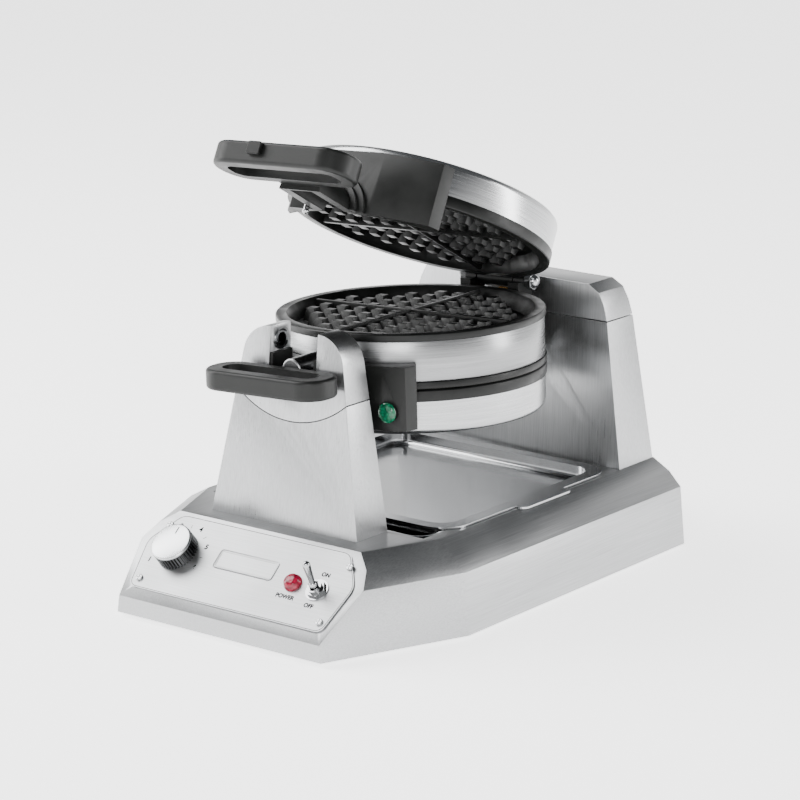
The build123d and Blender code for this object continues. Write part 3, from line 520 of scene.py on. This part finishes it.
# ---- finishes on the CAD nodes ------------------------------------------------------------
NODE_FINISHES = {
    "base_sheet": ("base_housing", "bottom_plate"),
    "panel_sheet": ("control_panel",),
    "upright_sheet": ("front_post_shell", "front_post_cap", "rear_post_shell", "rear_post_cap"),
    "drum_sheet": ("middle_band", "bottom_lid_shell"),
    "lid_sheet": ("top_lid_shell",),
    "tray_sheet": ("drip_tray", "tray_well"),
    "bright": ("panel_screws", "toggle_nut", "toggle_lever", "toggle_switch_body", "catch_eyelet",
               "hinge_pins", "hinge_nuts", "lock_pin", "post_screws", "bottom_plate_screws",
               "spindle_retaining_ring"),
    "knob_face": ("knob_body", "knob_cap"),
    "machined": ("front_spindle", "rear_spindle", "knob_shaft"),
    "coating": ("hinge_bracket", "top_hinge_leaf", "bottom_hinge_leaf",
                "middle_upper_plate", "middle_lower_plate", "top_lid_plate", "bottom_lid_plate"),
    "plastic": ("top_handle", "bottom_handle", "top_lid_bracket", "bottom_lid_bracket"),
    "nylon": ("handle_latch", "cable_gland", "front_cradle_bush", "power_lamp_body", "ready_lamp_body",
              "thermostat_body", "terminal_block"),
    "bronze": ("rear_bearing_bush",),
    "heater": ("middle_heating_element", "top_heating_element", "bottom_heating_element"),
    "red_lens": ("power_lamp_lens",),
    "green_lens": ("ready_lamp_lens",),
    "rubber": ("rubber_feet",),
}


class MESH_OT_waffle_finishes(bpy.types.Operator):
    """Gives every CAD node its finish"""

    bl_idname = "mesh.waffle_finishes"
    bl_label = "Finish the Frame"

    def execute(self, context):
        for finish_name, names in NODE_FINISHES.items():
            for name in names:
                paint(NODES[name], finish_name)
        return {"FINISHED"}


class MESH_OT_waffle_sheet_metal(bpy.types.Operator):
    """Adds the base and the posts with folded, rounded edges"""

    bl_idname = "mesh.waffle_sheet_metal"
    bl_label = "Sheet Metal"

    def execute(self, context):
        edge = sizes().sheet_edge
        for node, finish_name in (("base_housing", "base_sheet"), ("front_post_shell", "upright_sheet"),
                                  ("front_post_cap", "upright_sheet"), ("rear_post_shell", "upright_sheet"),
                                  ("rear_post_cap", "upright_sheet")):
            softened(node, node + "_rounded", edge, finish_name, "base")
        return {"FINISHED"}


def shell_outline(outer, wall, low, high):
    """A lid casing's section: band, rolled shoulder and slightly domed top, then back down its inside."""
    return [
        (outer - wall, low), (outer, low), (outer, high - 5.2 * MM), (outer - 0.35 * MM, high - 3.6 * MM),
        (outer - 1.2 * MM, high - 2.1 * MM), (outer - 2.4 * MM, high - 1.1 * MM),
        (outer - 4.2 * MM, high - 0.6 * MM), (outer - 9.0 * MM, high - 0.45 * MM),
        (outer * 0.5, high - 0.12 * MM), (0.0, high), (0.0, high - wall),
        (outer * 0.5, high - 0.12 * MM - wall), (outer - 6.0 * MM, high - 0.6 * MM - wall),
        (outer - wall - 0.6 * MM, high - 4.0 * MM - wall), (outer - wall, high - 7.0 * MM),
        (outer - wall, low),
    ]


class MESH_OT_waffle_lid_shells(bpy.types.Operator):
    """Adds the two spun steel lid casings and the drum's band"""

    bl_idname = "mesh.waffle_lid_shells"
    bl_label = "Lid Casings"

    def execute(self, context):
        axis = Matrix.Translation((0.0, DRUM_Y, AXIS_Z))
        outline = shell_outline(BAND_R, CASING_WALL, CASING_LOW, CASING_HIGH)
        bm = lathe(outline, ROUND_STEPS)
        top = new_piece(bm, "top_lid_casing", "lid_sheet", "top_lid", opened() @ axis, 50.0)
        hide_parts("top_lid_shell")
        over = Matrix.Rotation(math.pi, 4, "Y")
        bm = lathe(outline, ROUND_STEPS)
        bottom = new_piece(bm, "bottom_lid_casing", "drum_sheet", "drum",
                           tipped() @ axis @ over, 50.0)
        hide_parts("bottom_lid_shell")
        inner = BAND_R - 1.4 * MM
        eased = BAND_R - 0.3 * MM
        corner = BAND_HALF - 0.4 * MM
        ring = [(inner, -BAND_HALF), (eased, -BAND_HALF), (BAND_R, -corner), (BAND_R, corner),
                (eased, BAND_HALF), (inner, BAND_HALF), (inner, -BAND_HALF)]
        bm = lathe(ring, ROUND_STEPS)
        band = new_piece(bm, "middle_band_rolled", "shaded_band_sheet", "drum",
                         tipped() @ axis, 50.0)
        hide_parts("middle_band")
        return {"FINISHED"}


class MESH_OT_waffle_grids(bpy.types.Operator):
    """Adds the cast grid plates with rounded studs"""

    bl_idname = "mesh.waffle_grids"
    bl_label = "Grid Plates"

    def execute(self, context):
        edge = sizes().cast_edge
        for node, body in (("middle_upper_plate", "drum"), ("middle_lower_plate", "drum"),
                           ("bottom_lid_plate", "drum"), ("top_lid_plate", "top_lid")):
            softened(node, node + "_cast", edge, "coating", body, segments=2)
        return {"FINISHED"}


class MESH_OT_waffle_brackets(bpy.types.Operator):
    """Adds the moulded brackets with rounded edges"""

    bl_idname = "mesh.waffle_brackets"
    bl_label = "Lid Brackets"

    def execute(self, context):
        edge = sizes().moulded_edge
        for node, body in (("top_lid_bracket", "top_lid"), ("bottom_lid_bracket", "drum")):
            softened(node, node + "_moulded", edge, "plastic", body)
        return {"FINISHED"}


class MESH_OT_waffle_knob(bpy.types.Operator):
    """Adds the dial knob: a fluted grip with a spun aluminium face"""

    bl_idname = "mesh.waffle_knob"
    bl_label = "Dial Knob"

    def execute(self, context):
        flutes = sizes().flutes
        bm = bmesh.new()
        bmesh.ops.create_circle(bm, cap_ends=True, radius=GRIP_R, segments=flutes * 4)
        for index, vert in enumerate(sorted(bm.verts, key=lambda v: math.atan2(v.co.y, v.co.x))):
            if index % 4 in (0, 1):
                vert.co *= FLUTE_R / GRIP_R
        bmesh.ops.translate(bm, vec=(0, 0, 1.6 * MM), verts=bm.verts)
        # straight grip, then a short taper to the face's rim
        for rise, draw_in in ((KNOB_TOP / MM - 2.9, 0.985), (1.3, 0.93)):
            top = max(bm.faces, key=lambda f: f.calc_center_median().z)
            made = bmesh.ops.extrude_face_region(bm, geom=[top])
            verts = [v for v in made["geom"] if isinstance(v, bmesh.types.BMVert)]
            bmesh.ops.delete(bm, geom=[top], context="FACES")
            bmesh.ops.translate(bm, vec=(0, 0, rise * MM), verts=verts)
            bmesh.ops.scale(bm, vec=(draw_in, draw_in, 1.0), verts=verts)
        new_piece(bm, "knob_grip", "knob_grip", "knob", on_panel(KNOB_AT), 25.0)
        outline = [(0.0, -1.1), (14.6, -1.1), (14.7, -0.1), (14.3, 0.45), (13.6, 0.7), (0.0, 0.75)]
        face = lathe([(r * MM, KNOB_TOP + h * MM) for r, h in outline], 96)
        piece = new_piece(face, "knob_face", "knob_face", "knob", on_panel(KNOB_AT))
        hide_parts("knob_body", "knob_cap")
        mark = bmesh.new()
        bmesh.ops.create_cube(mark, size=1.0)
        bmesh.ops.scale(mark, vec=(0.9 * MM, 5.5 * MM, 0.16 * MM), verts=mark.verts)
        bmesh.ops.translate(mark, vec=(0.0, 9.2 * MM, KNOB_TOP + 0.72 * MM), verts=mark.verts)
        bmesh.ops.bevel(mark, geom=mark.edges[:], offset=0.05 * MM, segments=2, affect="EDGES", profile=0.5,
                        material=-1)
        new_piece(mark, "knob_pointer_line", "ink", "knob", on_panel(KNOB_AT))
        return {"FINISHED"}


class MESH_OT_waffle_lamps(bpy.types.Operator):
    """Adds the domed lamp lenses in their thin rims"""

    bl_idname = "mesh.waffle_lamps"
    bl_label = "Lamp Lenses"

    def execute(self, context):
        # the power lamp stands out of the control face
        outline = [(0.0, 0.0), (6.55, 0.0), (6.55, 1.0), (6.2, 1.9), (5.7, 2.6), (5.3, 3.9), (4.4, 4.8),
                   (3.0, 5.2), (1.5, 5.35), (0.0, 5.4)]
        bm = lathe([(r * MM, h * MM) for r, h in outline], 48)
        place = on_panel(LAMP_AT, PANEL_SKIN)
        power = new_piece(bm, "power_lens", "red_lens", "base", place, 60.0)
        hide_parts("power_lamp_lens")
        # the ready lamp looks forward out of the bottom lid's bracket
        low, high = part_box("ready_lamp_lens")
        centre = (low + high) / 2
        outline = [(0.0, 0.0), (7.1, 0.0), (7.1, 0.8), (6.7, 1.5), (5.6, 2.2), (3.6, 2.7), (1.8, 2.85),
                   (0.0, 2.88)]
        bm = lathe([(r * MM, h * MM) for r, h in outline], 48)
        place = Matrix.Translation((centre.x, high.y, centre.z)) @ Matrix.Rotation(math.pi / 2, 4, "X")
        ready = new_piece(bm, "ready_lens", "green_lens", "drum", place, 60.0)
        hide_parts("ready_lamp_lens")
        return {"FINISHED"}


def printed(text, name, at, height):
    """A word or number as a thin film of ink on the control face."""
    curve = bpy.data.curves.new(name, "FONT")
    curve.body = text
    curve.size = height / 0.7
    curve.align_x = "CENTER"
    curve.align_y = "CENTER"
    curve.extrude = 0.03 * MM
    curve.offset = 0.06 * height
    bm = bmesh.new()
    bm.from_mesh(meshed(curve))
    bmesh.ops.remove_doubles(bm, verts=bm.verts, dist=1e-7)
    return new_piece(bm, name, "ink", "base", on_panel(at, PANEL_SKIN + 0.03 * MM))


class MESH_OT_waffle_printing(bpy.types.Operator):
    """Adds the dial numbers and ticks and the switch and lamp words"""

    bl_idname = "mesh.waffle_printing"
    bl_label = "Panel Printing"

    def execute(self, context):
        radius = sizes().dial_radius
        for index in range(6):
            angle = DIAL_START - DIAL_STEP * index
            at = (KNOB_AT[0] + radius * math.cos(angle), KNOB_AT[1] + radius * math.sin(angle))
            printed(str(index + 1), "dial_number_%d" % (index + 1), at, sizes().numeral_height)
        ticks = bmesh.new()
        for index in range(5):
            angle = DIAL_START - DIAL_STEP * (index + 0.5)
            made = bmesh.ops.create_cube(ticks, size=1.0)["verts"]
            bmesh.ops.scale(ticks, vec=(2.6 * MM, 0.35 * MM, 0.06 * MM), verts=made)
            bmesh.ops.translate(ticks, vec=(radius - 1.0 * MM, 0, 0.03 * MM), verts=made)
            bmesh.ops.rotate(ticks, cent=(0, 0, 0), matrix=Matrix.Rotation(angle, 3, "Z"), verts=made)
        new_piece(ticks, "dial_ticks", "ink", "base", on_panel(KNOB_AT, PANEL_SKIN))
        words = (("POWER", "power_word", (LAMP_AT[0] - 0.5 * MM, LAMP_AT[1] - 11.0 * MM)),
                 ("ON", "on_word", (TOGGLE_AT[0], TOGGLE_AT[1] + 12.5 * MM)),
                 ("OFF", "off_word", (TOGGLE_AT[0], TOGGLE_AT[1] - 12.5 * MM)))
        for text, name, at in words:
            printed(text, name, at, sizes().label_height)
        return {"FINISHED"}


class MESH_OT_waffle_edge_shadow(bpy.types.Operator):
    """Adds a painted shadow line round the control plate's edge"""

    bl_idname = "mesh.waffle_border"
    bl_label = "Plate Edge Shadow"

    def execute(self, context):
        bm = bmesh.new()
        bm.from_mesh(NODES["control_panel"].data)
        bmesh.ops.remove_doubles(bm, verts=bm.verts, dist=1e-6)
        bmesh.ops.transform(bm, matrix=on_panel((0.0, 0.0)).inverted(), verts=bm.verts)
        low = [f for f in bm.faces if f.calc_center_median().z < PANEL_SKIN - 0.05 * MM]
        bmesh.ops.delete(bm, geom=low, context="FACES")
        bmesh.ops.dissolve_limit(bm, angle_limit=math.radians(1.0), verts=bm.verts, edges=bm.edges)
        # the plate's outer edge is the run of open edges that is left once those of its holes are out
        rim = [e for e in bm.edges if e.is_boundary and off_middle(e.verts[0].co) and
               not near_hole(e.verts[0].co)]
        corners = [v.co.copy() for v in ordered(rim)]
        bm.free()
        curve = bpy.data.curves.new("plate_shadow", "CURVE")
        curve.dimensions = "3D"
        curve.bevel_depth = 0.24 * MM
        curve.bevel_resolution = 2
        spline = curve.splines.new("POLY")
        spline.points.add(len(corners) - 1)
        spline.use_cyclic_u = True
        for point, co in zip(spline.points, corners):
            point.co = (co.x * 0.991, 0.0395 + (co.y - 0.0395) * 0.975, PANEL_SKIN - 0.08 * MM, 1.0)
        line = bmesh.new()
        line.from_mesh(meshed(curve))
        # an ink-dark line just inside the plate's edge: painted shadow along the plate's edge
        new_piece(line, "plate_shadow_line", "ink", "base", on_panel((0.0, 0.0)))
        return {"FINISHED"}


def meshed(curve):
    """A curve's or text's mesh, before its place is applied."""
    drawn = bpy.data.objects.new(curve.name + "_drawn", curve)
    bpy.context.scene.collection.objects.link(drawn)
    bpy.context.view_layer.update()
    mesh = bpy.data.meshes.new_from_object(drawn.evaluated_get(bpy.context.evaluated_depsgraph_get()))
    bpy.data.objects.remove(drawn)
    return mesh


def off_middle(co):
    """Whether a point of the control plate is more than 30 mm from its middle, along X or up the slope."""
    return max(abs(co.x), abs(co.y - 0.04)) > 0.030


def near_hole(co):
    """Whether a point of the control plate belongs to one of its holes, not to its outer edge."""
    holes = [(KNOB_AT, 3.6 * MM), (LAMP_AT, 5.6 * MM), (TOGGLE_AT, 5.6 * MM)]
    holes += [(at, 1.8 * MM) for at in PANEL_SCREWS_AT]
    return any(math.hypot(co.x - x, co.y - y) < reach for (x, y), reach in holes)


def ordered(edges):
    """The vertices of one closed run of edges, in order."""
    linked = {}
    for edge in edges:
        for vert in edge.verts:
            linked.setdefault(vert, []).append(edge.other_vert(vert))
    start = edges[0].verts[0]
    run = [start]
    last, here = None, start
    while True:
        ahead = [v for v in linked[here] if v is not last]
        last, here = here, ahead[0]
        if here is start:
            return run
        run.append(here)


class MESH_OT_waffle_badge(bpy.types.Operator):
    """Adds a plain raised badge on the control face"""

    bl_idname = "mesh.waffle_badge"
    bl_label = "Blank Badge"

    def execute(self, context):
        bm = bmesh.new()
        bmesh.ops.create_cube(bm, size=1.0)
        bmesh.ops.scale(bm, vec=(50.0 * MM, 15.0 * MM, 1.0 * MM), verts=bm.verts)
        upright = [e for e in bm.edges if abs(e.verts[0].co.z - e.verts[1].co.z) > 0.5 * MM]
        bmesh.ops.bevel(bm, geom=upright, offset=2.5 * MM, segments=5, affect="EDGES", profile=0.5,
                        material=-1)
        top = max(bm.faces, key=lambda f: f.calc_center_median().z)
        bmesh.ops.inset_region(bm, faces=[top], thickness=0.6 * MM, depth=-0.3 * MM)
        top = max((f for f in bm.faces if len(f.verts) > 8), key=lambda f: f.calc_center_median().z)
        bmesh.ops.inset_region(bm, faces=[top], thickness=0.9 * MM, depth=0.0)
        top = max((f for f in bm.faces if len(f.verts) > 8), key=lambda f: f.calc_center_median().z)
        bmesh.ops.inset_region(bm, faces=[top], thickness=0.5 * MM, depth=-0.35 * MM)
        place = on_panel(BADGE_AT, PANEL_SKIN)
        new_piece(bm, "blank_badge", "panel_sheet", "base", place, 30.0)
        return {"FINISHED"}


# ---- stage --------------------------------------------------------------------------------
def area_light(name, place, target, size, power, height=None):
    """A soft rectangular light aimed at a point."""
    data = bpy.data.lights.new(name, "AREA")
    data.shape = "RECTANGLE"
    data.size = size
    data.size_y = height or size
    data.energy = power
    lamp = bpy.data.objects.new(name, data)
    bpy.context.scene.collection.objects.link(lamp)
    lamp.location = place
    aim = Vector(target) - Vector(place)
    lamp.rotation_euler = aim.to_track_quat("-Z", "Y").to_euler()
    return lamp


class SCENE_OT_waffle_stage(bpy.types.Operator):
    """Adds the pale floor, the soft studio light and the camera"""

    bl_idname = "scene.waffle_stage"
    bl_label = "Stage"

    def execute(self, context):
        bm = bmesh.new()
        bmesh.ops.create_grid(bm, x_segments=1, y_segments=1, size=12.0)
        mesh = bpy.data.meshes.new("floor")
        bm.to_mesh(mesh)
        bm.free()
        floor = bpy.data.objects.new("floor", mesh)
        context.scene.collection.objects.link(floor)
        made, tree, shader, place = material("Pale studio floor")
        mottle = add(tree, "TexNoise", {"Vector": place, "Scale": 3.0, "Detail": 2.0})
        low, high = (*srgb("#fafafa"), 1.0), (*srgb("#fdfdfd"), 1.0)
        tree.links.new(between(tree, mottle.outputs["Fac"], low, high), shader.inputs["Base Color"])
        shader.inputs["Roughness"].default_value = 0.9
        mesh.materials.append(made)

        shader.inputs["Emission Color"].default_value = (1.0, 1.0, 1.0, 1.0)
        shader.inputs["Emission Strength"].default_value = 2.4

        # a pale room, bright at the horizon and dark overhead: upright steel is lighter than level steel
        world = bpy.data.worlds.new("Studio")
        world.use_nodes = True
        sky = world.node_tree
        around = add(sky, "SeparateXYZ", {"Vector": add(sky, "TexCoord").outputs["Generated"]})
        ramp = add(sky, "ValToRGB", {"Fac": around.outputs["Z"]})
        ramp.color_ramp.elements[0].position = 0.12
        ramp.color_ramp.elements[0].color = (1.0, 1.0, 1.0, 1.0)
        ramp.color_ramp.elements[1].position = 0.60
        ramp.color_ramp.elements[1].color = (0.05, 0.053, 0.056, 1.0)
        background = sky.nodes["Background"]
        sky.links.new(ramp.outputs["Color"], background.inputs["Color"])
        background.inputs["Strength"].default_value = 2.1
        context.scene.world = world
        target = (0.0, 0.0, 0.12)
        area_light("Overhead softbox", (-1.15, -0.5, 1.65), target, 1.2, 40.0, 1.2)
        area_light("Left softbox", (-1.7, -0.7, 0.7), target, 0.7, 26.0, 1.2)
        area_light("Right strip", (1.7, 0.9, 0.7), target, 0.4, 22.0, 1.2)
        area_light("Front fill", (1.0, -2.1, 1.0), target, 0.8, 24.0)

        lens = bpy.data.cameras.new("camera")
        lens.lens = 144.67
        lens.sensor_width = 36.0
        lens.shift_x = 0.0113
        lens.shift_y = 0.0398
        lens.clip_start = 0.05
        camera = bpy.data.objects.new("camera", lens)
        context.scene.collection.objects.link(camera)
        look = Vector((-0.57341, 0.77806, -0.25657)).normalized()
        turned = look.to_track_quat("-Z", "Y").to_matrix().to_4x4()
        roll = Matrix.Rotation(math.radians(0.788), 4, "Z")
        camera.matrix_world = Matrix.Translation((1.29165, -1.75113, 0.68235)) @ turned @ roll
        context.scene.camera = camera
        return {"FINISHED"}


class VIEW3D_PT_waffle_maker(bpy.types.Panel):
    """Lists the waffle maker's pieces, sizes and colours"""

    bl_label = "Waffle Maker"
    bl_idname = "VIEW3D_PT_waffle_maker"
    bl_space_type = "VIEW_3D"
    bl_region_type = "UI"
    bl_category = "Waffle Maker"

    def draw(self, context):
        layout = self.layout
        for group in (context.scene.waffle_maker_sizes, context.scene.waffle_maker_colours):
            box = layout.box()
            for name in group.__annotations__:
                box.prop(group, name)
        for operator in OPERATORS:
            layout.operator(operator.bl_idname)


OPERATORS = (
    SCENE_OT_waffle_stage,
    MESH_OT_waffle_finishes,
    MESH_OT_waffle_sheet_metal,
    MESH_OT_waffle_lid_shells,
    MESH_OT_waffle_grids,
    MESH_OT_waffle_brackets,
    MESH_OT_waffle_knob,
    MESH_OT_waffle_lamps,
    MESH_OT_waffle_edge_shadow,
    MESH_OT_waffle_printing,
    MESH_OT_waffle_badge,
)
CLASSES = (WaffleMakerSizes, WaffleMakerColours, *OPERATORS, VIEW3D_PT_waffle_maker)


def register():
    for cls in CLASSES:
        bpy.utils.register_class(cls)
    bpy.types.Scene.waffle_maker_sizes = bpy.props.PointerProperty(type=WaffleMakerSizes)
    bpy.types.Scene.waffle_maker_colours = bpy.props.PointerProperty(type=WaffleMakerColours)


def unregister():
    del bpy.types.Scene.waffle_maker_colours
    del bpy.types.Scene.waffle_maker_sizes
    for cls in reversed(CLASSES):
        bpy.utils.unregister_class(cls)


def main():
    register()
    for operator in OPERATORS:
        group, name = operator.bl_idname.split(".")
        getattr(getattr(bpy.ops, group), name)()


if __name__ == "__main__":
    main()
